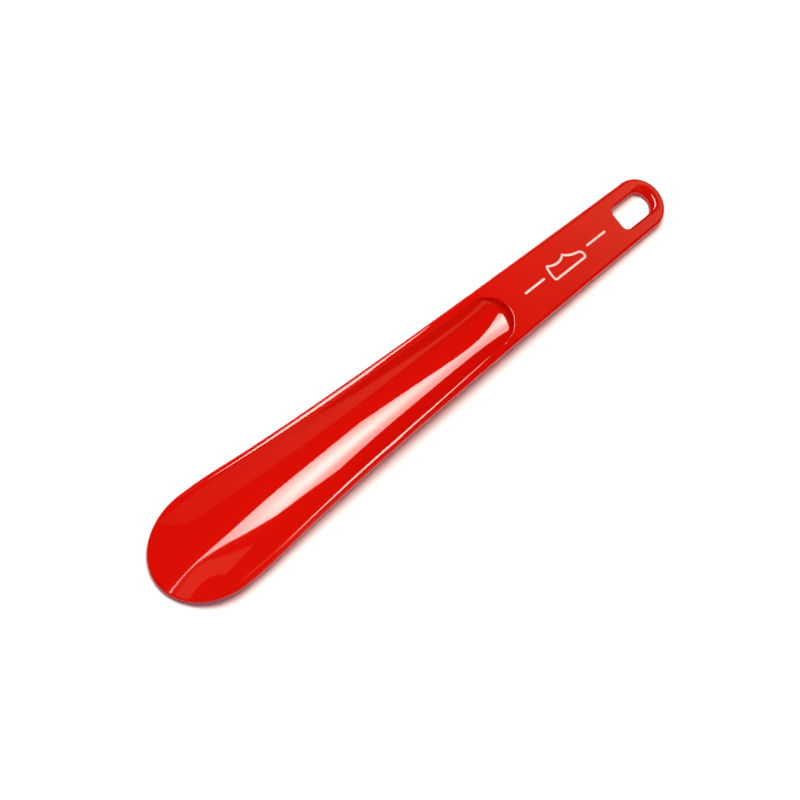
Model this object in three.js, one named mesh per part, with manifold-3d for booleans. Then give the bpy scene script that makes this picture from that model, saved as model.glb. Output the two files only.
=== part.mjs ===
// Long shoehorn: one glossy plastic moulding with a trough-shaped blade, a flat handle and a
// hanging hole, and a small printed mark of thin ink shapes on the handle's face.
//
// Millimetres, +Z up. The shoehorn lies on a table with its trough upwards: X runs along its
// length from the blade's tip to the handle's end, Y runs across it, and the origin is the centre
// of its footprint on the table. Stations along the length are counted from the tip.

import * as THREE from 'three';
import { ParametricGeometry } from 'three/addons/geometries/ParametricGeometry.js';
import { mergeVertices } from 'three/addons/utils/BufferGeometryUtils.js';
import Module from 'manifold-3d';

const wasm = await Module();
wasm.setup();

// Outline seen from above
const LENGTH = 260;
const BLADE_WIDTH = 40;
const TIP_REACH = 25.5;            // length of the half-ellipse that rounds the tip
const HANDLE_END_RADIUS = 11.2;
const SIDE_HANDLES = [             // the two inner control points of each side's curve
  new THREE.Vector2(55.6, 20),
  new THREE.Vector2(35.2, 15.1),
];

// Side view: the face bows over the blade and runs straight down along the handle
const CREST_STATION = 118;
const CREST_HEIGHT = 7.32;
const HANDLE_STATION = 185;        // where the bow ends and the straight handle begins
const HANDLE_SLOPE = 0.038;
const TIP_LIFT = 0.35;             // height of the tip's underside above the table
const KEEL_STATION = 50;           // where the lifted tip has come down to the table

// Thicknesses
const SLAB = 3.2;                  // handle and rim
const WALL = 2.2;                  // bottom of the trough
const TIP_THICKNESS = 1.3;
const FACE_ROUND = 2.2;            // rounding along the upper edge
const BACK_ROUND = 0.8;            // rounding along the lower edge

// Trough
const RIM = 2.7;                   // from the outer edge to the trough's edge
const RIM_GROWTH = 0.4;            // extra rim where the trough ends
const RIM_STATION = 22;            // the rim fades out between here and the tip
const BOWL_STATION = 161.5;        // where the trough's round end begins
const BOWL_REACH = 11.1;
const RAMP_STATION = 120;          // where the trough's bottom begins to rise towards its end
const RAMP_SHARE = 0.34;           // share of the depth that the ramp takes away
const RAMP_POWER = 6.2;
const END_STEEPNESS = 10;          // how suddenly the end wall rises out of the bottom
const END_SOFTNESS = 0.01;
const EDGE_ROLL = 0.1;             // share of the depth that rolls over into the face

// Hanging hole
const HOLE_START = 236;
const HOLE_CENTRE = 248.4;
const HOLE_HALF_WIDTH = 5.3;
const HOLE_CORNER = 2.5;

// Printed mark
const INK_GAP = 0.05;
const INK_THICKNESS = 0.15;
const INK_STROKE = 0.9;
const MARK_STATION = 205;
const RULE_LENGTH = 11;
const RULE_OFFSET = 17.5;          // from the mark's middle to a rule's middle

const PLASTIC_RED = 0xdb1410;
const INK_WHITE = 0xfbf3ee;

const END_CENTRE = LENGTH - HANDLE_END_RADIUS;
const sideCurve = new THREE.CubicBezierCurve(
  new THREE.Vector2(TIP_REACH, BLADE_WIDTH / 2),
  SIDE_HANDLES[0],
  SIDE_HANDLES[1],
  new THREE.Vector2(END_CENTRE, HANDLE_END_RADIUS),
);

// Half-width of a side's curve at a station, found by halving the curve's parameter range.
function sideWidth(station) {
  let low = 0;
  let high = 1;
  for (let i = 0; i < 40; i += 1) {
    const middle = (low + high) / 2;
    if (sideCurve.getPoint(middle).x < station) low = middle;
    else high = middle;
  }
  return sideCurve.getPoint(low).y;
}

// Half-width of the outline: half-ellipse at the tip, curved side, half-circle at the handle's end.
function halfWidth(station) {
  if (station < TIP_REACH) {
    const behind = (TIP_REACH - station) / TIP_REACH;
    return (BLADE_WIDTH / 2) * Math.sqrt(Math.max(1 - behind * behind, 0));
  }
  if (station > END_CENTRE) {
    const beyond = station - END_CENTRE;
    return Math.sqrt(Math.max(HANDLE_END_RADIUS ** 2 - beyond ** 2, 0));
  }
  return sideWidth(station);
}

// Height of the face: an arc of a large circle over the blade, then its tangent.
function faceHeight(station) {
  const bowRadius = (HANDLE_STATION - CREST_STATION) / HANDLE_SLOPE;
  const along = Math.min(station, HANDLE_STATION) - CREST_STATION;
  const straight = Math.max(station - HANDLE_STATION, 0);
  return CREST_HEIGHT - along ** 2 / (2 * bowRadius) - straight * HANDLE_SLOPE;
}

// Height of the underside's lowest line above the table: nothing but the tip's lift.
function keelHeight(station) {
  return TIP_LIFT * Math.max(1 - station / KEEL_STATION, 0) ** 2;
}

function growFromTip(station, reach) {
  return THREE.MathUtils.smoothstep(station, 0, reach);
}

function slabThickness(station) {
  return THREE.MathUtils.lerp(TIP_THICKNESS, SLAB, growFromTip(station, KEEL_STATION));
}

function wallThickness(station) {
  return THREE.MathUtils.lerp(TIP_THICKNESS, WALL, growFromTip(station, KEEL_STATION));
}

// A hollow's share of its full depth: a parabola across, its bottom ramped up towards the far end,
// where a steep wall closes it along a half-ellipse.
function hollowShape(station, y, inset) {
  const grown = THREE.MathUtils.smoothstep(station, CREST_STATION, BOWL_STATION);
  const rim = RIM * growFromTip(station, RIM_STATION) + RIM_GROWTH * grown - inset;
  const width = sideWidth(Math.max(station, TIP_REACH)) - rim;
  const across = 1 - (y / width) ** 2;
  const closing = (Math.max(station - BOWL_STATION, 0) / (BOWL_REACH + inset)) ** 2;
  const wall = (closing + END_SOFTNESS) / (Math.max(across, 0) + END_SOFTNESS);
  const rampReach = BOWL_STATION + BOWL_REACH - RAMP_STATION;
  const ramp = THREE.MathUtils.clamp((station - RAMP_STATION) / rampReach, 0, 1) ** RAMP_POWER;
  return Math.max((1 - RAMP_SHARE * ramp) * (across - closing * wall ** END_STEEPNESS), -1);
}

// Zero outside the hollow and its share of the depth inside, joined by a parabola at the edge.
function rolled(share) {
  const risen = THREE.MathUtils.clamp(share + EDGE_ROLL, 0, 2 * EDGE_ROLL);
  return risen ** 2 / (4 * EDGE_ROLL) + Math.max(share - EDGE_ROLL, 0);
}

// Distance from a point to the outline, good near the outline where the roundings need it.
function edgeDistance(station, y) {
  const step = 0.01;
  const before = halfWidth(Math.max(station - step, 0));
  const after = halfWidth(Math.min(station + step, LENGTH));
  const growth = (after ** 2 - before ** 2) / (4 * step);
  return (halfWidth(station) ** 2 - y ** 2) / (2 * Math.hypot(growth, y) + 1e-6);
}

// Drop of a quarter-round of the given radius at a distance from the edge.
function roundDrop(distance, radius) {
  const inward = Math.max(radius - Math.max(distance, 0), 0);
  return radius - Math.sqrt(radius ** 2 - inward ** 2);
}

function faceAt(station, y) {
  const depth = faceHeight(station) - wallThickness(station) - keelHeight(station);
  const radius = Math.min(FACE_ROUND, slabThickness(station) * 0.55);
  const hollow = depth * rolled(hollowShape(station, y, 0));
  return faceHeight(station) - hollow - roundDrop(edgeDistance(station, y), radius);
}

function backAt(station, y) {
  const depth = faceHeight(station) - slabThickness(station) - keelHeight(station);
  const radius = Math.min(BACK_ROUND, slabThickness(station) * 0.25);
  const belly = depth * rolled(hollowShape(station, y, SLAB - WALL));
  const height = faceHeight(station) - slabThickness(station) - belly;
  return height + roundDrop(edgeDistance(station, y), radius);
}

// Stations of the cross-sections: close together on the round ends and around the trough's end.
function sectionStations() {
  const stations = [];
  const tipSteps = 11;
  for (let i = 0; i < tipSteps; i += 1) {
    stations.push(TIP_REACH * (1 - Math.cos((i / tipSteps) * Math.PI / 2)));
  }
  const spans = [
    [TIP_REACH, 153, 20],
    [153, 169, 7],
    [169, 176, 9],
    [176, END_CENTRE, 5],
  ];
  for (const [from, to, steps] of spans) {
    for (let i = 0; i < steps; i += 1) {
      stations.push(THREE.MathUtils.lerp(from, to, i / steps));
    }
  }
  const endSteps = 9;
  for (let i = 0; i <= endSteps; i += 1) {
    stations.push(END_CENTRE + HANDLE_END_RADIUS * Math.sin((i / endSteps) * Math.PI / 2));
  }
  return stations;
}

// The moulding before its hole is cut: closed cross-sections joined along the length. Each section
// runs over the face from one edge to the other and returns along the back.
function blankGeometry() {
  const stations = sectionStations();
  const acrossSteps = 20;
  const ring = 2 * acrossSteps + 2;
  const surface = (around, along, target) => {
    const station = stations[Math.round(along * (stations.length - 1))];
    const step = Math.round(around * ring) % ring;
    const onFace = step <= acrossSteps;
    const turn = onFace ? step : ring - 1 - step;
    const y = halfWidth(station) * Math.cos((turn / acrossSteps) * Math.PI);
    const z = onFace ? faceAt(station, y) : backAt(station, y);
    target.set(station - LENGTH / 2, y, z);
  };
  return new ParametricGeometry(surface, ring, stations.length - 1);
}

// Plan shape of the hanging hole: round towards the handle's end, square with small corners
// towards the blade.
function holeShape() {
  const start = HOLE_START - LENGTH / 2;
  const centre = HOLE_CENTRE - LENGTH / 2;
  const side = HOLE_HALF_WIDTH;
  const corner = HOLE_CORNER;
  const shape = new THREE.Shape();
  shape.moveTo(start + corner, -side);
  shape.lineTo(centre, -side);
  shape.absarc(centre, 0, side, -Math.PI / 2, Math.PI / 2);
  shape.lineTo(start + corner, side);
  shape.absarc(start + corner, side - corner, corner, Math.PI / 2, Math.PI);
  shape.lineTo(start, -side + corner);
  shape.absarc(start + corner, -side + corner, corner, Math.PI, Math.PI * 1.5);
  return shape;
}

function toManifold(geometry) {
  const bare = geometry.clone();
  bare.deleteAttribute('normal');
  bare.deleteAttribute('uv');
  const merged = mergeVertices(bare, 1e-5);
  const corners = merged.index.array;
  const kept = [];
  for (let i = 0; i < corners.length; i += 3) {
    const [a, b, c] = corners.subarray(i, i + 3);
    if (a !== b && b !== c && c !== a) kept.push(a, b, c);
  }
  const mesh = new wasm.Mesh({
    numProp: 3,
    vertProperties: new Float32Array(merged.attributes.position.array),
    triVerts: new Uint32Array(kept),
  });
  return new wasm.Manifold(mesh);
}

function toGeometry(manifold) {
  const mesh = manifold.getMesh();
  const geometry = new THREE.BufferGeometry();
  geometry.setAttribute('position', new THREE.BufferAttribute(mesh.vertProperties, 3));
  geometry.setIndex(new THREE.BufferAttribute(mesh.triVerts, 1));
  geometry.computeVertexNormals();
  return geometry;
}

function namedMesh(name, geometry, material) {
  const mesh = new THREE.Mesh(geometry, material);
  mesh.name = name;
  return mesh;
}

// The single plastic moulding: blade, rim, handle and hanging hole.
function mouldedBody() {
  const cutter = new THREE.ExtrudeGeometry(holeShape(), {
    depth: CREST_HEIGHT + 2,
    bevelEnabled: false,
    curveSegments: 12,
  });
  cutter.translate(0, 0, -1);
  const body = toManifold(blankGeometry()).subtract(toManifold(cutter));
  const plastic = new THREE.MeshStandardMaterial({
    color: PLASTIC_RED,
    roughness: 0.15,
    metalness: 0,
  });
  return namedMesh('moulded_body', toGeometry(body), plastic);
}

function inkMesh(name, shape) {
  const geometry = new THREE.ExtrudeGeometry(shape, {
    depth: INK_THICKNESS,
    bevelEnabled: false,
    curveSegments: 6,
  });
  const ink = new THREE.MeshStandardMaterial({
    color: INK_WHITE,
    roughness: 0.5,
    metalness: 0,
  });
  return namedMesh(name, geometry, ink);
}

// A thin straight bar with round ends, centred at the given distance along the mark.
function ruleShape(middle) {
  const radius = INK_STROKE / 2;
  const reach = RULE_LENGTH / 2 - radius;
  const shape = new THREE.Shape();
  shape.absarc(middle + reach, 0, radius, -Math.PI / 2, Math.PI / 2);
  shape.absarc(middle - reach, 0, radius, Math.PI / 2, Math.PI * 1.5);
  return shape;
}

// Side view of a plain slip-on shoe, toe towards the handle's end. The inset moves every edge
// inwards, so two of these outlines bound a line of even width.
function shoePath(inset, PathClass) {
  const sole = -3.6 + inset;
  const heel = -9 + inset;
  const toe = 9.5 - inset;
  const top = 3.6 - inset;
  const path = new PathClass();
  path.moveTo(heel + 1, sole);
  path.lineTo(toe - 1.2, sole);
  path.bezierCurveTo(toe + 0.2, sole, toe + 0.2, 0.4 - inset, toe - 2.4, 0.7 - inset);
  path.bezierCurveTo(4.5, 1.2 - inset, 2.6 - inset, 2 - inset, 1.2 - inset, top);
  path.bezierCurveTo(-1, 1.6 - inset, -4.5, 1.6 - inset, heel + 0.6, top);
  path.bezierCurveTo(heel - 0.1, 1.5, heel - 0.1, -1.5, heel, sole + 1);
  path.quadraticCurveTo(heel, sole, heel + 1, sole);
  return path;
}

function shoeShape() {
  const shape = shoePath(0, THREE.Shape);
  shape.holes.push(shoePath(INK_STROKE, THREE.Path));
  return shape;
}

// Two rules with a shoe outline between them, laid along the straight part of the handle.
function printedMark() {
  const mark = new THREE.Group();
  mark.add(inkMesh('printed_rule_near_blade', ruleShape(-RULE_OFFSET)));
  mark.add(inkMesh('printed_shoe_outline', shoeShape()));
  mark.add(inkMesh('printed_rule_near_hole', ruleShape(RULE_OFFSET)));
  mark.position.set(MARK_STATION - LENGTH / 2, 0, faceHeight(MARK_STATION) + INK_GAP);
  mark.rotation.y = Math.atan(HANDLE_SLOPE);
  return mark;
}

const shoehorn = new THREE.Group();
shoehorn.add(mouldedBody());
shoehorn.add(printedMark());

export default shoehorn;
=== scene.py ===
"""Long shoehorn: a glossy red plastic moulding with a trough-shaped blade, a flat handle with a
hanging hole and a small white printed mark, lying on a pale table.

Everything is in metres, in the CAD model's frame: +X runs from the blade's tip to the handle's
end, +Y across and +Z up. A station is a distance from the tip along X.
"""

import math

import bpy
import numpy as np
from bpy.props import FloatProperty, FloatVectorProperty, PointerProperty
from mathutils import Matrix, Vector


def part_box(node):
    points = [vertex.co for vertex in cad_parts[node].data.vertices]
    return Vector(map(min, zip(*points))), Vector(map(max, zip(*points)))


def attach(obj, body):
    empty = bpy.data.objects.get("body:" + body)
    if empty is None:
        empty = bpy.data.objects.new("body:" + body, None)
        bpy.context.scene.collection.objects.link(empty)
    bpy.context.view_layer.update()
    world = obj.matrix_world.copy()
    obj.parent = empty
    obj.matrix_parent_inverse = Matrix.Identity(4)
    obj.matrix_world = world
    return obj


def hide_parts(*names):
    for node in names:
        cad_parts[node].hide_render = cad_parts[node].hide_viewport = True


bl_info = {
    "name": "Long Shoehorn",
    "version": (1, 0, 0),
    "blender": (4, 5, 0),
    "location": "3D View > Sidebar > Shoehorn",
    "description": "Builds a one-piece plastic shoehorn with its printed mark and a small studio",
    "category": "Add Mesh",
}

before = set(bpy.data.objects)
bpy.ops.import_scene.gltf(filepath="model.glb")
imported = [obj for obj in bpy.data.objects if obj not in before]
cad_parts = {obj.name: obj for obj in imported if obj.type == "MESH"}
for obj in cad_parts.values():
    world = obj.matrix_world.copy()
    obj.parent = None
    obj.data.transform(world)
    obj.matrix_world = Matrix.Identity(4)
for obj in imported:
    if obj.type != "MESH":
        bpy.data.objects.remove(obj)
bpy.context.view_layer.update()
BODY_LOW, BODY_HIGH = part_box("moulded_body")
MM = 0.001
WELD = 1e-8
TABLE_GAP = 0.02 * MM


def length_property(name, description, default):
    """A size in metres that a user may change."""
    return FloatProperty(
        name=name,
        description=description,
        default=default,
        precision=5,
        subtype="DISTANCE",
        unit="LENGTH",
    )


def colour_property(name, description, default):
    """A linear colour that a user may change."""
    return FloatVectorProperty(
        name=name,
        description=description,
        default=default,
        size=4,
        min=0,
        max=1,
        subtype="COLOR",
    )


class ShoehornShape(bpy.types.PropertyGroup):
    """Sizes of the moulding."""

    length: length_property("Length", "Tip to handle end", BODY_HIGH.x - BODY_LOW.x)
    blade_width: length_property("Blade width", "Widest part", BODY_HIGH.y - BODY_LOW.y)
    tip_reach: length_property("Tip reach", "Length of the rounded tip", 25.5 * MM)
    end_radius: length_property("End radius", "Round end of the handle", 11.2 * MM)
    crest_height: length_property(
        "Crest height", "Highest point of the face", BODY_HIGH.z - BODY_LOW.z
    )
    crest_station: length_property("Crest station", "Where the face is highest", 118 * MM)
    handle_station: length_property("Handle station", "Where the face turns flat", 185 * MM)
    handle_slope: FloatProperty(
        name="Handle slope", description="Fall of the handle towards its end", default=0.038
    )
    tip_lift: length_property("Tip lift", "Underside of the tip above the table", 0.35 * MM)
    keel_station: length_property("Keel station", "Where the blade meets the table", 50 * MM)
    slab: length_property("Slab", "Thickness of the handle and rim", 3.2 * MM)
    wall: length_property("Wall", "Thickness under the trough", 2.2 * MM)
    tip_thickness: length_property("Tip thickness", "Thickness at the tip", 1.3 * MM)
    face_round: length_property("Face rounding", "Radius of the upper edge", 2.2 * MM)
    back_round: length_property("Back rounding", "Radius of the lower edge", 0.8 * MM)
    rim: length_property("Rim", "Outer edge to trough edge", 2.7 * MM)
    rim_growth: length_property("Rim growth", "Extra rim at the trough's end", 0.4 * MM)
    rim_station: length_property("Rim station", "Where the rim is fully formed", 22 * MM)
    bowl_station: length_property("Bowl station", "Where the round end begins", 161.5 * MM)
    bowl_reach: length_property("Bowl reach", "Length of the trough's round end", 11.1 * MM)
    ramp_station: length_property("Ramp station", "Where the bottom starts to rise", 120 * MM)
    ramp_share: FloatProperty(
        name="Ramp", description="Share of the depth that the ramp takes away", default=0.34
    )
    ramp_power: FloatProperty(
        name="Ramp power", description="How late the ramp steepens", default=6.2
    )
    end_steepness: FloatProperty(
        name="End steepness", description="How suddenly the end wall rises", default=10
    )
    end_softness: FloatProperty(
        name="End softness", description="Eases the end wall into the sides", default=0.01
    )
    edge_roll: FloatProperty(
        name="Edge roll", description="Share of the depth that rolls into the face", default=0.1
    )
    end_roll: FloatProperty(
        name="End roll", description="Extra roll along the trough's round end", default=0.3
    )
    hole_start: length_property("Hole start", "Side of the hole nearest the blade", 236 * MM)
    hole_centre: length_property("Hole centre", "Centre of the hole's round end", 248.4 * MM)
    hole_half_width: length_property("Hole half-width", "Half the hole's width", 5.3 * MM)
    hole_corner: length_property("Hole corner", "Radius of the near corners", 2.5 * MM)
    hole_side_round: length_property("Hole rounding", "Rounding beside the hole", 1.0 * MM)
    hole_far_round: length_property("Hole dish", "Rounding beyond the hole", 3.9 * MM)
    parting_ridge: length_property("Parting ridge", "Height of the mould's parting line", 0.03 * MM)


class ShoehornMark(bpy.types.PropertyGroup):
    """Sizes of the printed mark."""

    station: length_property("Station", "Middle of the mark", 205 * MM)
    stroke: length_property("Stroke", "Width of a printed line", 0.9 * MM)
    film: length_property("Film", "Thickness of the ink", 0.03 * MM)
    clearance: length_property("Clearance", "Ink above the face", 0.01 * MM)
    rule_length: length_property("Rule length", "Length of a printed bar", 11 * MM)
    rule_offset: length_property("Rule offset", "Mark middle to bar middle", 17.5 * MM)


class ShoehornFinish(bpy.types.PropertyGroup):
    """Colours and gloss."""

    plastic: colour_property("Plastic", "Main red of the moulding", (0.44, 0.003, 0.0008, 1))
    plastic_deep: colour_property("Deep plastic", "Red of thicker flow", (0.425, 0.002, 0.0008, 1))
    ink: colour_property("Ink", "Printed white", (0.72, 0.54, 0.49, 1))
    roughness: FloatProperty(
        name="Roughness", description="Polish of the mould", default=0.03, min=0, max=1
    )


class ShoehornStudio(bpy.types.PropertyGroup):
    """Camera and table."""

    aim: FloatVectorProperty(
        name="Aim",
        description="Point looked at, from the middle of the shoehorn's footprint",
        default=(-15.36 * MM, -2.1 * MM, 4 * MM),
        precision=5,
        subtype="TRANSLATION",
        unit="LENGTH",
    )
    camera_distance: length_property("Camera distance", "From the point looked at", 0.7393)
    camera_tilt: FloatProperty(
        name="Camera tilt",
        description="Lean of the camera towards the tip",
        default=math.radians(23.4),
        subtype="ANGLE",
        unit="ROTATION",
    )
    camera_side: FloatProperty(
        name="Camera side lean",
        description="Lean of the camera across the shoehorn",
        default=math.radians(2.0),
        subtype="ANGLE",
        unit="ROTATION",
    )
    camera_roll: FloatProperty(
        name="Camera roll",
        description="Turn of the shoehorn in the picture",
        default=math.radians(38.304),
        subtype="ANGLE",
        unit="ROTATION",
    )
    lens: FloatProperty(name="Lens", description="Focal length", default=90, unit="CAMERA")
    floor_size: length_property("Floor size", "Side of the square table", 6.0)


# Shape of the moulding

SIDE_HANDLES = [(55.6 * MM, 20.0 * MM), (35.2 * MM, 15.1 * MM)]  # of the side's Bezier curve
LEAST_RIM = 0.5 * MM  # left between the outer rounding and the trough
TIP_EASE = 4 * MM  # station where the trough keeps clear of half that rounding
BACK_HOLE_ROUND = 0.5 * MM  # rounding of the hole's lower edge
DISH_DEPTH = 0.8 * MM  # drop of the rounding along the hole's sides
DISH_GROWTH = 0.55  # extra drop for each millimetre that the rounding widens
DISH_TURN = -0.2  # how far the hole's edge faces the end where the dish begins to widen
FACE_SHARE = 0.55  # most of the thickness that the upper edge's rounding may take
BACK_SHARE = 0.25  # most of it that the lower edge's may take

# Layout of the ribs, the lines of points that cross the moulding
TIP_FAN = 14 * MM  # station on the middle line where the tip's first rib starts
TIP_FAN_END = 40 * MM  # station from which ribs are square to the middle line
ARC_FAN_LEAD = 25 * MM  # distance before the round end where ribs begin to lean
ARC_FAN_SHIFT = 4 * MM  # their lean where the round end begins
ARC_FAN = 26 * MM  # length of outline that the round end's ribs run out to
HOLE_FAN = 9 * MM  # distance before the hole where its first rib meets the outline
HOLE_SIDE_FAN = 4 * MM  # distance before the hole where its corner's ribs begin
HOLE_CORNER_FAN = 2 * MM  # distance past the hole's start where they end
SQUARE_RIM = 0.8, 1.6  # shares of the tip's reach between which the rim turns square
CROWDING = 1.8  # power that crowds points towards the trough's edge


def smooth_step(value, low, high):
    """0 below low, 1 above high, and the cubic 3t^2 - 2t^3 between them."""
    t = np.clip((value - low) / (high - low), 0, 1)
    return t * t * (3 - 2 * t)


def cubic_bezier(points, t):
    """Points of a cubic Bezier curve: the four control points weighted by Bernstein's terms."""
    t = np.asarray(t)[:, None]
    a, b, c, d = np.asarray(points, float)
    return (1 - t) ** 3 * a + 3 * (1 - t) ** 2 * t * b + 3 * (1 - t) * t**2 * c + t**3 * d


class Moulding:
    """Formulas of the shoehorn's surfaces. Each takes and returns whole arrays."""

    def __init__(self, shape):
        self.shape = shape
        self.end_centre = shape.length - shape.end_radius
        controls = [
            (shape.tip_reach, shape.blade_width / 2),
            *SIDE_HANDLES,
            (self.end_centre, shape.end_radius),
        ]
        self.side = cubic_bezier(controls, np.linspace(0, 1, 4001))
        self.arc_rib = shape.bowl_station + ARC_FAN
        self.hole_rib = shape.hole_start - HOLE_FAN

    def side_width(self, station):
        """Half-width of the curved side, read from its Bezier curve."""
        return np.interp(station, self.side[:, 0], self.side[:, 1])

    def face_height(self, station):
        """Face line: a parabola falling from the crest, and from the handle on its tangent."""
        s = self.shape
        bow_radius = (s.handle_station - s.crest_station) / s.handle_slope
        along = np.minimum(station, s.handle_station) - s.crest_station
        straight = np.maximum(station - s.handle_station, 0)
        return s.crest_height - along**2 / (2 * bow_radius) - straight * s.handle_slope

    def keel_height(self, station):
        """Underside's lowest line: a parabola that lifts the tip off the table."""
        return self.shape.tip_lift * np.maximum(1 - station / self.shape.keel_station, 0) ** 2

    def thickness(self, station, full):
        """Plastic thickness, growing smoothly from the thin tip to its full value."""
        grown = smooth_step(station, 0, self.shape.keel_station)
        return self.shape.tip_thickness + (full - self.shape.tip_thickness) * grown

    def rim_width(self, station):
        """Rim from the outline to the trough: none at the tip, and a little wider further on."""
        s = self.shape
        grown = s.rim_growth * smooth_step(station, s.crest_station, s.bowl_station)
        return s.rim * smooth_step(station, 0, s.rim_station) + grown

    def hollow(self, station, y, inset):
        """Share of the full depth.

        A parabola 1 - (y / width)^2, less a ramp at the bottom that grows as a power of the
        distance, and less a steep wall that closes it along a half-ellipse at the far end.
        """
        s = self.shape
        rim = self.rim_width(station) - inset
        width = self.side_width(np.maximum(station, s.tip_reach)) - rim
        across = 1 - (y / width) ** 2
        closing = (np.maximum(station - s.bowl_station, 0) / (s.bowl_reach + inset)) ** 2
        wall = (closing + s.end_softness) / (np.maximum(across, 0) + s.end_softness)
        ramp_reach = s.bowl_station + s.bowl_reach - s.ramp_station
        ramp = np.clip((station - s.ramp_station) / ramp_reach, 0, 1) ** s.ramp_power
        open_share = (1 - s.ramp_share * ramp) * (across - closing * wall**s.end_steepness)
        return np.maximum(open_share, -1)

    def rolled(self, station, share):
        """The share where positive, zero where negative, and a parabola that joins the two.

        The parabola grows longer along the steep end, so that its lip is as round as the sides'.
        """
        s = self.shape
        closing = np.clip((station - s.bowl_station) / s.bowl_reach, 0, 1) ** 2
        roll = s.edge_roll + s.end_roll * closing
        risen = np.clip(share + roll, 0, 2 * roll)
        return risen**2 / (4 * roll) + np.maximum(share - roll, 0)

    def face(self, station, y):
        """Upper surface without its edge rounding: face line less the rolled trough."""
        wall = self.thickness(station, self.shape.wall)
        depth = self.face_height(station) - wall - self.keel_height(station)
        return self.face_height(station) - depth * self.rolled(station, self.hollow(station, y, 0))

    def back(self, station, y):
        """Lower surface without its edge rounding: slab line less the rolled belly."""
        slab = self.thickness(station, self.shape.slab)
        inset = self.shape.slab - self.shape.wall
        depth = self.face_height(station) - slab - self.keel_height(station)
        line = self.face_height(station) - slab
        return line - depth * self.rolled(station, self.hollow(station, y, inset))


def outline_points(moulding):
    """Outer outline of the +Y half from tip to end: ellipse quarter, curved side, circle quarter.

    Points are closer together beside the trough's round end, and one lies exactly at the station
    where each new set of ribs begins.
    """
    s = moulding.shape
    tip_turn = np.linspace(0, math.pi / 2, 80, endpoint=False)
    tip = np.stack(
        [s.tip_reach * (1 - np.cos(tip_turn)), s.blade_width / 2 * np.sin(tip_turn)], axis=1
    )
    breaks = [s.tip_reach, s.bowl_station, moulding.arc_rib, moulding.hole_rib]
    breaks.append(moulding.end_centre)
    counts = (170, 80, 40, 50)
    spans = zip(breaks, breaks[1:], counts)
    stations = np.concatenate([np.linspace(*span, endpoint=False) for span in spans])
    side = np.stack([stations, moulding.side_width(stations)], axis=1)
    end_turn = np.linspace(0, math.pi / 2, 61)
    end = np.stack(
        [moulding.end_centre + s.end_radius * np.sin(end_turn), s.end_radius * np.cos(end_turn)],
        axis=1,
    )
    end[-1, 1] = 0
    return np.concatenate([tip, side, end])


def right_normals(points):
    """Unit normals on the right-hand side of a path, by central differences."""
    ahead = np.gradient(points, axis=0)
    normals = np.stack([ahead[:, 1], -ahead[:, 0]], axis=1)
    return normals / np.linalg.norm(normals, axis=1)[:, None]


def hole_outline(shape, travelled):
    """Hole outline of the +Y half by distance travelled, and the normals into the plastic.

    Near side, small corner arc, straight side and far arc: each is a line or a circle measured
    by the length travelled along it from the middle line.
    """
    side, corner = shape.hole_half_width, shape.hole_corner
    corner_centre = shape.hole_start + corner
    runs = [side - corner, corner * math.pi / 2, shape.hole_centre - corner_centre]
    marks = np.cumsum(runs)
    turn = np.where(
        travelled <= marks[1],
        np.clip((travelled - marks[0]) / corner, 0, math.pi / 2),
        math.pi / 2 + np.clip((travelled - marks[2]) / side, 0, math.pi / 2),
    )
    normals = np.stack([-np.cos(turn), np.sin(turn)], axis=1)
    on_corner = travelled <= marks[1]
    radius = np.where(on_corner, corner, side)[:, None]
    centre_x = np.where(
        on_corner,
        corner_centre,
        np.clip(corner_centre + travelled - marks[1], corner_centre, shape.hole_centre),
    )
    centre_y = np.where(on_corner, np.minimum(travelled, side - corner), 0)
    points = np.stack([centre_x, centre_y], axis=1) + radius * normals
    points[-1, 1] = 0
    normals[-1, 1] = 0
    return points, normals


def grid_quads(rows, columns, closed=False):
    """Corner numbers of a grid's quads; a closed grid's last column joins its first."""
    spans = columns if closed else columns - 1
    row, column = np.meshgrid(np.arange(rows - 1), np.arange(spans), indexing="ij")
    following = (column + 1) % columns
    quads = [
        row * columns + column,
        row * columns + following,
        (row + 1) * columns + following,
        (row + 1) * columns + column,
    ]
    return np.stack(quads, axis=-1).reshape(-1, 4)


def add_piece(name, vertices, quads):
    """Smooth triangle mesh from arrays: points welded, flat triangles dropped, faces outwards.

    The sign of the enclosed volume, the sum of a . (b x c) over the triangles, says which way
    the faces point.
    """
    rounded = np.round(vertices / WELD).astype(np.int64)
    _, first, owner = np.unique(rounded, axis=0, return_index=True, return_inverse=True)
    points = vertices[first]
    quads = owner.ravel()[quads]
    triangles = np.concatenate([quads[:, [0, 1, 2]], quads[:, [0, 2, 3]]])
    whole = (triangles != np.roll(triangles, 1, axis=1)).all(axis=1)
    triangles = triangles[whole]
    a, b, c = (points[triangles[:, k]] for k in range(3))
    if np.einsum("ij,ij->", a, np.cross(b, c)) < 0:
        triangles = triangles[:, ::-1]
    used, corners = np.unique(triangles, return_inverse=True)
    corners = corners.ravel()
    mesh = bpy.data.meshes.new(name)
    mesh.vertices.add(len(used))
    mesh.vertices.foreach_set("co", points[used].astype(np.float32).ravel())
    mesh.loops.add(len(corners))
    mesh.loops.foreach_set("vertex_index", corners.astype(np.int32))
    mesh.polygons.add(len(triangles))
    mesh.polygons.foreach_set("loop_start", np.arange(0, len(corners), 3, dtype=np.int32))
    mesh.update(calc_edges=True)
    mesh.shade_smooth()
    piece = bpy.data.objects.new(name, mesh)
    bpy.context.scene.collection.objects.link(piece)
    return piece


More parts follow.
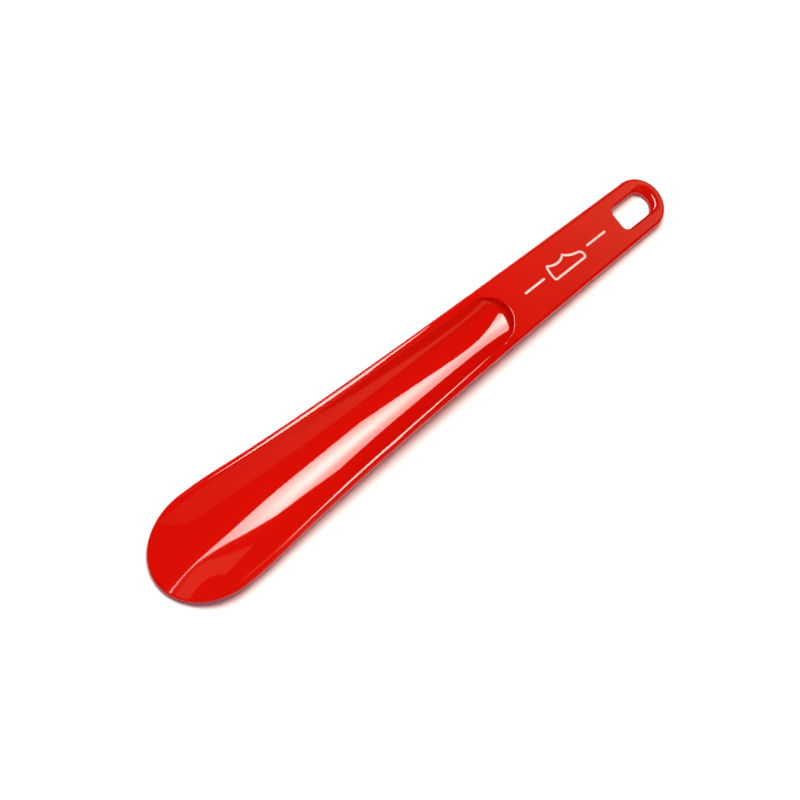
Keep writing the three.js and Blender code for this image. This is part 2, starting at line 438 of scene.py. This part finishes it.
def quarter_round(points, normals, reach, drop, turns):
    """Plan points and drops of a rounding whose section is a quarter-ellipse.

    At a turn b, counted from the flat surface, the point is reach * (1 - sin b) in from the edge
    and drop * (1 - cos b) below the surface.
    """
    inward = np.multiply.outer(reach, 1 - np.sin(turns))
    plan = points[:, None, :] + normals[:, None, :] * inward[:, :, None]
    return plan, np.multiply.outer(drop, 1 - np.cos(turns))


def between(start, end, shares):
    """Straight runs of points from start to end, at the given shares of the way."""
    return start[:, None, :] + (end - start)[:, None, :] * shares[None, :, None]


def trough_edge(moulding, edge, inwards, inset, rounding):
    """The trough's edge, one point for each outline point up to the one beside the arc's far end.

    Along the tip and the side it lies one rim in from the outline, and always inside the outline's
    rounding. Around the closed end it is an ellipse quarter, walked through while the outline
    moves on to the arc's rib.
    """
    shape = moulding.shape
    stations = edge[:, 0]
    width = moulding.rim_width(stations) - inset
    width = np.maximum(width, rounding * stations / (stations + TIP_EASE) + LEAST_RIM)
    straight = smooth_step(stations / shape.tip_reach, *SQUARE_RIM)[:, None]
    across = inwards * (1 - straight) + np.array([0, -1]) * straight
    across /= np.linalg.norm(across, axis=1)[:, None]
    beside = edge + across * width[:, None]
    lead = moulding.arc_rib - shape.bowl_station
    turn = np.clip((stations - shape.bowl_station) / lead, 0, 1) * math.pi / 2
    arc_x = shape.bowl_station + (shape.bowl_reach + inset) * np.sin(turn)
    arc_y = (moulding.side_width(arc_x) - moulding.rim_width(arc_x) + inset) * np.cos(turn)
    arc = np.stack([arc_x, np.where(stations < moulding.arc_rib, arc_y, 0)], axis=1)
    return np.where((stations > shape.bowl_station)[:, None], arc, beside)


def spine(moulding, edge):
    """Starts of the trough's ribs on the middle line: fanned out at the tip and the far end."""
    shape = moulding.shape
    bowl = shape.bowl_station
    outer = [0, TIP_FAN_END, bowl - ARC_FAN_LEAD, bowl, moulding.arc_rib]
    inner = [TIP_FAN, TIP_FAN_END, bowl - ARC_FAN_LEAD, bowl - ARC_FAN_SHIFT, bowl]
    stations = np.interp(edge[:, 0], outer, inner)
    return np.stack([stations, np.zeros_like(stations)], axis=1)


def hole_chain(moulding, edge):
    """Hole outline point, normal and face rounding for every outline point.

    The outline's stations are paired with shares of the hole's outline so that ribs leave its
    near side, corner and straight side in turn; around the end both are walked by angle.
    """
    shape = moulding.shape
    side, corner = shape.hole_half_width, shape.hole_corner
    near = side - corner
    bend = near + corner * math.pi / 2
    straight = bend + shape.hole_centre - shape.hole_start - corner
    whole = straight + side * math.pi / 2
    past = np.clip((edge[:, 0] - moulding.end_centre) / shape.end_radius, 0, 1)
    outer = [
        moulding.hole_rib,
        shape.hole_start - HOLE_SIDE_FAN,
        shape.hole_start + HOLE_CORNER_FAN,
        moulding.end_centre,
    ]
    travelled = np.interp(edge[:, 0], outer, [0, near, bend, straight])
    travelled = travelled + (whole - straight) * np.arcsin(past) / (math.pi / 2)
    points, normals = hole_outline(shape, travelled)
    far = smooth_step(normals[:, 0], DISH_TURN, 1)
    reach = shape.hole_side_round + (shape.hole_far_round - shape.hole_side_round) * far
    return points, normals, reach


def half_moulding(moulding):
    """Vertices and quads of the +Y half.

    Ribs run out to the outline from the trough's edge, from the middle line or from the hole, go
    around the outer edge with its parting ridge and come back underneath. Other ribs fill the
    trough and the belly from the spine to their edges, and the ones at the hole line its wall.
    """
    shape = moulding.shape
    edge = outline_points(moulding)
    stations = edge[:, 0]
    in_trough = stations <= moulding.arc_rib
    at_hole = stations >= moulding.hole_rib
    inwards = right_normals(edge)
    inwards[0] = (1, 0)
    inwards[-1] = (-1, 0)
    outer = edge + inwards * shape.parting_ridge
    slab = moulding.thickness(stations, shape.slab)
    face_radius = np.minimum(shape.face_round, FACE_SHARE * slab)
    back_radius = np.minimum(shape.back_round, BACK_SHARE * slab)
    falling = np.linspace(0, math.pi / 2, 13)
    rising = np.linspace(math.pi / 2, 0, 7)
    top_edge, top_drop = quarter_round(outer, inwards, face_radius, face_radius, falling)
    low_edge, low_drop = quarter_round(outer, inwards, back_radius, back_radius, rising)

    hole, into, reach = hole_chain(moulding, edge)
    depth = DISH_DEPTH + DISH_GROWTH * (reach - shape.hole_side_round)
    low_reach = np.full_like(reach, BACK_HOLE_ROUND)
    hole_top, hole_top_drop = quarter_round(hole, into, reach, depth, rising)
    hole_low, hole_low_drop = quarter_round(hole, into, low_reach, low_reach, falling)

    def rib_starts(inset, edge_round, hole_round, hole_start):
        """Inner ends of the outer ribs: the trough's edge, the middle line, then the hole."""
        arc_end = shape.bowl_station + shape.bowl_reach + inset
        spread = (stations - moulding.arc_rib) / (moulding.hole_rib - moulding.arc_rib)
        middle = arc_end + (shape.hole_start - hole_round - arc_end) * np.clip(spread, 0, 1) ** 2
        middle = np.stack([middle, np.zeros_like(middle)], axis=1)
        trough_side = trough_edge(moulding, edge, inwards, inset, edge_round)
        starts = np.where(in_trough[:, None], trough_side, middle)
        return np.where(at_hole[:, None], hole_start, starts)

    def on_face(plan, drop=0):
        """Plan points lifted to the upper surface, less a drop."""
        height = moulding.face(plan[..., 0], plan[..., 1]) - drop
        return np.concatenate([plan, height[..., None]], axis=-1)

    def on_back(plan, rise=0):
        """Plan points lifted to the lower surface, plus a rise."""
        height = moulding.back(plan[..., 0], plan[..., 1]) + rise
        return np.concatenate([plan, height[..., None]], axis=-1)

    outwards = np.linspace(0, 1, 15) ** CROWDING
    crowded = 1 - (1 - np.linspace(0, 1, 31)) ** CROWDING
    inset = shape.slab - shape.wall
    top_start = rib_starts(0, shape.face_round, shape.hole_side_round, hole_top[:, -1])
    low_start = rib_starts(inset, shape.back_round, BACK_HOLE_ROUND, hole_low[:, 0])
    middle = spine(moulding, edge)[in_trough]
    over = on_face(between(top_start, top_edge[:, 0], outwards))
    under = on_back(between(low_start, low_edge[:, -1], outwards))[:, ::-1]
    trough = on_face(between(middle, top_start[in_trough], crowded))
    belly = on_back(between(middle, low_start[in_trough], crowded[::2]))
    top_side = on_face(top_edge, top_drop)
    low_side = on_back(low_edge, low_drop)
    crest = (top_side[:, -1] + low_side[:, 0]) / 2
    crest[:, :2] = edge
    outside = [over[:, :-1], top_side, crest[:, None], low_side, under[:, 1:]]
    wall = [on_back(hole_low, hole_low_drop)[at_hole], on_face(hole_top, hole_top_drop)[at_hole]]
    sheets = [np.concatenate(outside, axis=1), np.concatenate(wall, axis=1), trough]
    sheets.append(belly[:, ::-1])
    return join_sheets(sheets)


def join_sheets(sheets):
    """Vertices and quads of several grids as one list of each."""
    starts = np.cumsum([0] + [sheet[..., 0].size for sheet in sheets])
    quads = [grid_quads(*sheet.shape[:2]) + start for sheet, start in zip(sheets, starts)]
    return np.concatenate([sheet.reshape(-1, 3) for sheet in sheets]), np.concatenate(quads)


def moulded_surface(moulding):
    """Whole moulding: the +Y half and its mirror image, whose quads are turned around."""
    vertices, quads = half_moulding(moulding)
    mirrored = vertices * (1, -1, 1)
    both = np.concatenate([vertices, mirrored])
    both[:, 0] -= moulding.shape.length / 2
    return both, np.concatenate([quads, quads[:, ::-1] + len(vertices)])


# Printed mark


def on_handle(moulding, plan, height):
    """Carries mark coordinates, along and across the handle, onto its sloping flat face."""
    shape = moulding.shape
    slope = math.atan(shape.handle_slope)
    station = bpy.context.scene.shoehorn_mark.station
    along = plan[..., 0]
    x = station - shape.length / 2 + along * math.cos(slope) + height * math.sin(slope)
    z = moulding.face_height(station) - along * math.sin(slope) + height * math.cos(slope)
    return np.stack([x, plan[..., 1], z], axis=-1)


def ink_stroke(moulding, mark, path, closed):
    """Vertices and quads of a flat printed line.

    The section is a low lens, half-width * cos(a) across and film * sin(a) high, carried along
    the path. At the ends of an open path the half-width follows a half-circle down to nothing.
    """
    if closed:
        ahead = np.roll(path, -1, axis=0) - np.roll(path, 1, axis=0)
        width = np.full(len(path), mark.stroke / 2)
    else:
        ahead = np.gradient(path, axis=0)
        travelled = np.concatenate([[0], np.cumsum(np.hypot(*np.diff(path, axis=0).T))])
        from_end = np.minimum(travelled, travelled[-1] - travelled)
        inside = np.clip(1 - from_end / (mark.stroke / 2), 0, 1)
        width = mark.stroke / 2 * np.sqrt(1 - inside**2)
    across = np.stack([-ahead[:, 1], ahead[:, 0]], axis=1)
    across /= np.linalg.norm(across, axis=1)[:, None]
    turns = np.linspace(0, 2 * math.pi, 16, endpoint=False)
    sideways = np.multiply.outer(width, np.cos(turns))
    plan = path[:, None, :] + across[:, None, :] * sideways[:, :, None]
    flat_share = np.minimum(width / (mark.stroke / 2), 1)[:, None]
    height = mark.clearance + mark.film / 2 * (1 + np.sin(turns) * flat_share)
    vertices = on_handle(moulding, plan, height).reshape(-1, 3)
    quads = grid_quads(len(path) + closed, len(turns), closed=True) % len(vertices)
    return vertices, quads


def rule_path(mark, middle):
    """Straight bar: points crowd towards both ends as a cosine does."""
    reach = mark.rule_length / 2
    along = middle - reach * np.cos(np.linspace(0, math.pi, 60))
    return np.stack([along, np.zeros_like(along)], axis=1)


def shoe_path(mark):
    """Side view of a plain slip-on shoe as one closed line: sole, toe, throat, collar and heel.

    Each stretch is a cubic Bezier curve, and a straight stretch has its controls on the line.
    """
    inset = mark.stroke / MM / 2
    sole, top = -3.6 + inset, 3.6 - inset
    heel, toe = -9 + inset, 9.5 - inset
    corner = 1.0
    stretches = [
        [(heel + corner, sole), (heel + 4, sole), (toe - 4, sole), (toe - 1.2, sole)],
        [(toe - 1.2, sole), (toe + 0.2, sole), (toe + 0.2, 0), (toe - 2.4, 0.25)],
        [(toe - 2.4, 0.25), (4.2, 0.75), (2.2, 1.6), (0.8, top)],
        [(0.8, top), (-1.2, 1.2), (-4.6, 1.2), (heel + 0.6, top)],
        [(heel + 0.6, top), (heel - 0.1, 1.5), (heel - 0.1, -1.5), (heel, sole + corner)],
        [(heel, sole + corner), (heel, sole + 0.4), (heel + 0.4, sole), (heel + corner, sole)],
    ]
    t = np.linspace(0, 1, 40, endpoint=False)
    return np.concatenate([cubic_bezier(points, t) for points in stretches]) * MM


# Materials


class Value:
    """A shader socket that Python arithmetic works on: every operator adds a Math node."""

    def __init__(self, nodes, socket):
        self.nodes = nodes
        self.socket = socket

    def math(self, operation, *others):
        """Result of a Math node on this value and others, which may be values or numbers."""
        inputs = [self.socket] + [getattr(other, "socket", other) for other in others]
        settings = {"operation": operation}
        return self.nodes.node("ShaderNodeMath", settings, dict(enumerate(inputs)))

    def __add__(self, other):
        return self.math("ADD", other)

    def __sub__(self, other):
        return self.math("SUBTRACT", other)

    def __mul__(self, other):
        return self.math("MULTIPLY", other)

    def __rsub__(self, other):
        return (self * -1) + other

    __radd__ = __add__
    __rmul__ = __mul__

    def band(self, low, high):
        """0 below low and 1 above high, with a smooth ramp between them."""
        settings = {"interpolation_type": "SMOOTHSTEP"}
        inputs = {"Value": self, "From Min": low, "From Max": high}
        return self.nodes.node("ShaderNodeMapRange", settings, inputs)


class Nodes:
    """The nodes of a material, a lamp or the world, with one method that makes any node."""

    def __init__(self, owner, shader):
        owner.use_nodes = True
        self.tree = owner.node_tree
        self.shader = self.tree.nodes[shader]

    def node(self, kind, settings, inputs, output=0):
        """One output of a new node whose settings are set first and whose sockets are filled."""
        node = self.tree.nodes.new(kind)
        for key, value in settings.items():
            setattr(node, key, value)
        for key, value in inputs.items():
            self.fill(node.inputs[key], value)
        return Value(self, node.outputs[output])

    def fill(self, socket, value):
        """Links a value to a socket, or sets a constant on it."""
        value = getattr(value, "socket", value)
        if isinstance(value, bpy.types.NodeSocket):
            self.tree.links.new(value, socket)
        else:
            socket.default_value = value

    def set(self, **values):
        """Fills sockets of the main shader, written with underscores for spaces."""
        for key, value in values.items():
            self.fill(self.shader.inputs[key.replace("_", " ")], value)

    def blend(self, share, first, second):
        """Colour mixed from first to second by a share from 0 to 1."""
        inputs = {0: share, 6: first, 7: second}
        return self.node("ShaderNodeMix", {"data_type": "RGBA"}, inputs, 2)


class Material(Nodes):
    """A material under construction, patterned on the object's own coordinates."""

    def __init__(self, name):
        self.material = bpy.data.materials.new(name)
        super().__init__(self.material, "Principled BSDF")
        self.coordinates = self.node("ShaderNodeTexCoord", {}, {}, "Object")

    def stretched(self, scale):
        """Object coordinates multiplied along X, Y and Z."""
        inputs = {"Vector": self.coordinates, "Scale": scale}
        return self.node("ShaderNodeMapping", {"vector_type": "POINT"}, inputs)

    def noise(self, scale, detail, stretch=(1, 1, 1)):
        """Soft random pattern of about scale patches in a metre."""
        inputs = {"Vector": self.stretched(stretch), "Scale": scale, "Detail": detail}
        return self.node("ShaderNodeTexNoise", {"noise_dimensions": "3D"}, inputs)

    def bump(self, height, distance):
        """Surface relief of a height in metres."""
        return self.node("ShaderNodeBump", {}, {"Height": height, "Distance": distance})


def gloss_plastic(finish):
    """Polished red plastic: faint flow streaks in the colour, a slight waviness and fine wear."""
    plastic = Material("gloss_red_plastic")
    flow = plastic.noise(14, 3, stretch=(0.35, 1, 1))
    wear = plastic.noise(420, 4, stretch=(0.06, 1, 1))
    sinking = plastic.noise(38, 1)
    colour = plastic.blend(
        flow.band(0.35, 0.65), tuple(finish.plastic), tuple(finish.plastic_deep)
    )
    scratches = wear.band(0.62, 0.78)
    plastic.set(
        Base_Color=colour,
        Roughness=scratches * 0.04 + finish.roughness,
        Normal=plastic.bump(sinking, 0.03 * MM),
        IOR=1.5,
    )
    return plastic.material


def printed_ink(finish):
    """White pad-print ink with a satin skin, thinner in places so that a little red shows."""
    ink = Material("white_print_ink")
    cover = ink.noise(2600, 3)
    patches = ink.noise(500, 2)
    thin = cover.band(0.55, 0.8) * 0.16 + patches.band(0.5, 0.8) * 0.1
    ink.set(
        Base_Color=ink.blend(thin, tuple(finish.ink), tuple(finish.plastic)),
        Roughness=cover * 0.2 + 0.35,
        Normal=ink.bump(cover, 0.006 * MM),
    )
    return ink.material


def table_top():
    """Plain near-white studio table with a barely visible tone change."""
    table = Material("pale_table")
    tone = table.noise(3, 2)
    table.set(
        Base_Color=table.blend(tone, (0.95, 0.95, 0.95, 1), (0.97, 0.965, 0.965, 1)),
        Roughness=0.7,
    )
    return table.material


# Operators


def finish_piece(piece, material, slot, *nodes):
    """Gives a piece its material, its body and the CAD nodes it stands for; the slot argument is
    not used.
    """
    piece.data.materials.append(material)
    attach(piece, "root")
    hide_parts(*nodes)


class SHOEHORN_OT_moulding(bpy.types.Operator):
    """Build the red moulding: blade, rim, handle and hanging hole in one piece"""

    bl_idname = "shoehorn.moulding"
    bl_label = "Moulding"

    def execute(self, context):
        moulding = Moulding(context.scene.shoehorn_shape)
        vertices, quads = moulded_surface(moulding)
        piece = add_piece("shoehorn_moulding", vertices, quads)
        material = gloss_plastic(context.scene.shoehorn_finish)
        finish_piece(piece, material, "red_plastic", "moulded_body")
        return {"FINISHED"}


class SHOEHORN_OT_mark(bpy.types.Operator):
    """Build the printed mark: two bars with the outline of a shoe between them"""

    bl_idname = "shoehorn.mark"
    bl_label = "Printed mark"

    def execute(self, context):
        moulding = Moulding(context.scene.shoehorn_shape)
        mark = context.scene.shoehorn_mark
        ink = printed_ink(context.scene.shoehorn_finish)
        strokes = [
            ("ink_bar_near_blade", rule_path(mark, -mark.rule_offset), False),
            ("ink_shoe_outline", shoe_path(mark), True),
            ("ink_bar_near_hole", rule_path(mark, mark.rule_offset), False),
        ]
        nodes = ["printed_rule_near_blade", "printed_shoe_outline", "printed_rule_near_hole"]
        for (name, path, closed), node in zip(strokes, nodes):
            vertices, quads = ink_stroke(moulding, mark, path, closed)
            finish_piece(add_piece(name, vertices, quads), ink, "white_ink", node)
        return {"FINISHED"}


def look_along(target, tilt, side, roll, distance):
    """Camera matrix for a view leaning towards the tip and to one side, turned in the picture."""
    level = math.cos(side)
    backwards = Vector((-math.sin(tilt) * level, -math.sin(side), math.cos(tilt) * level))
    along = (Vector((1, 0, 0)) - backwards * backwards.x).normalized()
    above = backwards.cross(along)
    right = along * math.cos(roll) - above * math.sin(roll)
    up = along * math.sin(roll) + above * math.cos(roll)
    rotation = Matrix((right, up, backwards)).transposed().to_4x4()
    return Matrix.Translation(target + backwards * distance) @ rotation


def add_area_light(name, place, size, power, axes=None, tint=(1, 1, 1)):
    """Rectangular light seen only in reflections and by the surfaces that it lights.

    Its sides run along the two axes given, or it faces the shoehorn's middle.
    """
    light = bpy.data.lights.new(name, "AREA")
    light.shape = "RECTANGLE"
    light.size, light.size_y = size
    light.energy = power
    light.color = tint
    lamp = bpy.data.objects.new(name, light)
    if axes is None:
        rotation = Vector(place).to_track_quat("Z", "Y").to_matrix()
    else:
        width, length = (Vector(axis).normalized() for axis in axes)
        away = width.cross(length)
        rotation = Matrix((width, away.cross(width), away)).transposed()
    lamp.matrix_world = Matrix.Translation(Vector(place)) @ rotation.to_4x4()
    lamp.visible_camera = False
    bpy.context.scene.collection.objects.link(lamp)
    return lamp


def shade_light(lamp, rest, centre, spread):
    """Makes a light brightest at a point of its rectangle.

    Its strength is rest + (1 - rest) * exp(-(a / spread_a)^2 - (b / spread_b)^2), where a and b
    are distances from that point as shares of the width and the length.
    """
    nodes = Nodes(lamp.data, "Emission")
    spot = nodes.node("ShaderNodeNewGeometry", {}, {}, "Parametric")
    fall = 0
    for axis, middle, reach in zip("XY", centre, spread):
        share = nodes.node("ShaderNodeSeparateXYZ", {}, {"Vector": spot}, axis)
        away = (share - 0.5 - middle) * (1 / reach)
        fall = away * away + fall
    nodes.set(Strength=(fall * -1).math("EXPONENT") * (1 - rest) + rest)


def light_only(lamp, table, on_table):
    """Hides a fill light from reflections and gives it to the table alone, or to all but it."""
    receivers = bpy.data.collections.new(lamp.name + "_receivers")
    receivers.objects.link(table)
    if not on_table:
        receivers.collection_objects[0].light_linking.link_state = "EXCLUDE"
    lamp.light_linking.receiver_collection = receivers
    lamp.visible_glossy = False


def add_floor(size):
    """Square table top just under the shoehorn."""
    half = size / 2
    corners = [(-half, -half, 0), (half, -half, 0), (half, half, 0), (-half, half, 0)]
    mesh = bpy.data.meshes.new("table")
    mesh.from_pydata(corners, [], [(0, 1, 2, 3)])
    mesh.materials.append(table_top())
    floor = bpy.data.objects.new("table", mesh)
    floor.location.z = BODY_LOW.z - TABLE_GAP
    bpy.context.scene.collection.objects.link(floor)
    return floor


def set_world(scene):
    """Surroundings that are pale to the camera, dim in reflections and soft as light."""
    world = bpy.data.worlds.new("studio")
    nodes = Nodes(world, "Background")
    camera_ray = nodes.node("ShaderNodeLightPath", {}, {}, "Is Camera Ray")
    glossy_ray = nodes.node("ShaderNodeLightPath", {}, {}, "Is Glossy Ray")
    unseen = nodes.blend(glossy_ray, (0.38, 0.13, 0.17, 1), (0.05, 0.03, 0.01, 1))
    nodes.set(Color=nodes.blend(camera_ray, unseen, (0.95, 0.95, 0.95, 1)))
    scene.world = world


def add_lights(table):
    """A tilted softbox over the far side, three dim warm cards beside it, and three fills.

    The table's fill is a little green-blue and the surroundings are a little red, so that open
    table is neutral and the shadow keeps the red glow that falls through and off the plastic.
    """
    warm = (1, 0.75, 0.4)
    softbox = add_area_light(
        "softbox",
        (0.1894, 0.2900, 0.5142),
        (0.2976, 0.5492),
        12,
        axes=((-0.281, 0.313, 0.907), (-0.307, -0.925, 0.224)),
        tint=(1, 0.97, 0.88),
    )
    shade_light(softbox, 0.36, (0.02, 0.15), (0.55, 0.27))
    leaning = (0.99, -0.14, 0), (0.14, 0.99, 0)
    add_area_light("near_card", (0.082, 0.265, 0.8), (0.045, 0.28), 0.024, leaning, warm)
    level = (1, 0, 0), (0, 1, 0)
    end_card = add_area_light("end_card", (0.85, 0.05, 0.8), (0.7, 0.8), 3.8, level, warm)
    shade_light(end_card, 0, (0.1, 0), (0.35, 0.6))
    slanted = (0.555, -0.832, 0), (0.832, 0.555, 0)
    side_card = add_area_light("side_card", (0.286, -0.891, 0.8), (1.25, 0.4), 0.95, slanted, warm)
    shade_light(side_card, 0.15, (0.3, 0.5), (0.6, 0.8))
    cool = (0.7, 1, 1)
    table_fill = add_area_light("table_fill", (0.5, 2.2, 2.0), (2.6, 2.6), 105, tint=cool)
    side_fill = add_area_light("side_fill", (0.2, -1.3, 1.5), (1.2, 1.2), 17)
    tip_fill = add_area_light("tip_fill", (-1.7, 0.1, 0.8), (1.2, 1.2), 15)
    light_only(table_fill, table, True)
    light_only(side_fill, table, False)
    light_only(tip_fill, table, False)


class SHOEHORN_OT_studio(bpy.types.Operator):
    """Add the camera, the table and the soft lights"""

    bl_idname = "shoehorn.studio"
    bl_label = "Studio"

    def execute(self, context):
        scene = context.scene
        studio = scene.shoehorn_studio
        middle = (BODY_LOW + BODY_HIGH) / 2
        target = Vector((middle.x, middle.y, BODY_LOW.z)) + Vector(studio.aim)
        camera = bpy.data.cameras.new("camera")
        camera.lens = studio.lens
        camera.clip_start = 0.01
        viewer = bpy.data.objects.new("camera", camera)
        angles = studio.camera_tilt, studio.camera_side, studio.camera_roll
        viewer.matrix_world = look_along(target, *angles, studio.camera_distance)
        scene.collection.objects.link(viewer)
        scene.camera = viewer
        add_lights(add_floor(studio.floor_size))
        set_world(scene)
        scene.view_settings.view_transform = "Standard"
        return {"FINISHED"}


class VIEW3D_PT_shoehorn(bpy.types.Panel):
    """Sidebar panel with the shoehorn's steps and sizes"""

    bl_label = "Shoehorn"
    bl_space_type = "VIEW_3D"
    bl_region_type = "UI"
    bl_category = "Shoehorn"

    def draw(self, context):
        layout = self.layout
        for operator in OPERATORS:
            layout.operator(operator.bl_idname)
        for name, group in GROUPS.items():
            settings = getattr(context.scene, name)
            for key in group.__annotations__:
                layout.prop(settings, key)


GROUPS = {
    "shoehorn_shape": ShoehornShape,
    "shoehorn_mark": ShoehornMark,
    "shoehorn_finish": ShoehornFinish,
    "shoehorn_studio": ShoehornStudio,
}
OPERATORS = (SHOEHORN_OT_studio, SHOEHORN_OT_moulding, SHOEHORN_OT_mark)


def register():
    """Adds the classes and hangs the settings on the scene."""
    for group in GROUPS.values():
        bpy.utils.register_class(group)
    for operator in OPERATORS:
        bpy.utils.register_class(operator)
    bpy.utils.register_class(VIEW3D_PT_shoehorn)
    for name, group in GROUPS.items():
        setattr(bpy.types.Scene, name, PointerProperty(type=group))


def unregister():
    """Takes the settings and the classes away again."""
    for name in GROUPS:
        delattr(bpy.types.Scene, name)
    bpy.utils.unregister_class(VIEW3D_PT_shoehorn)
    for operator in reversed(OPERATORS):
        bpy.utils.unregister_class(operator)
    for group in reversed(GROUPS.values()):
        bpy.utils.unregister_class(group)


def main():
    register()
    bpy.ops.shoehorn.studio()
    bpy.ops.shoehorn.moulding()
    bpy.ops.shoehorn.mark()


if __name__ == "__main__":
    main()
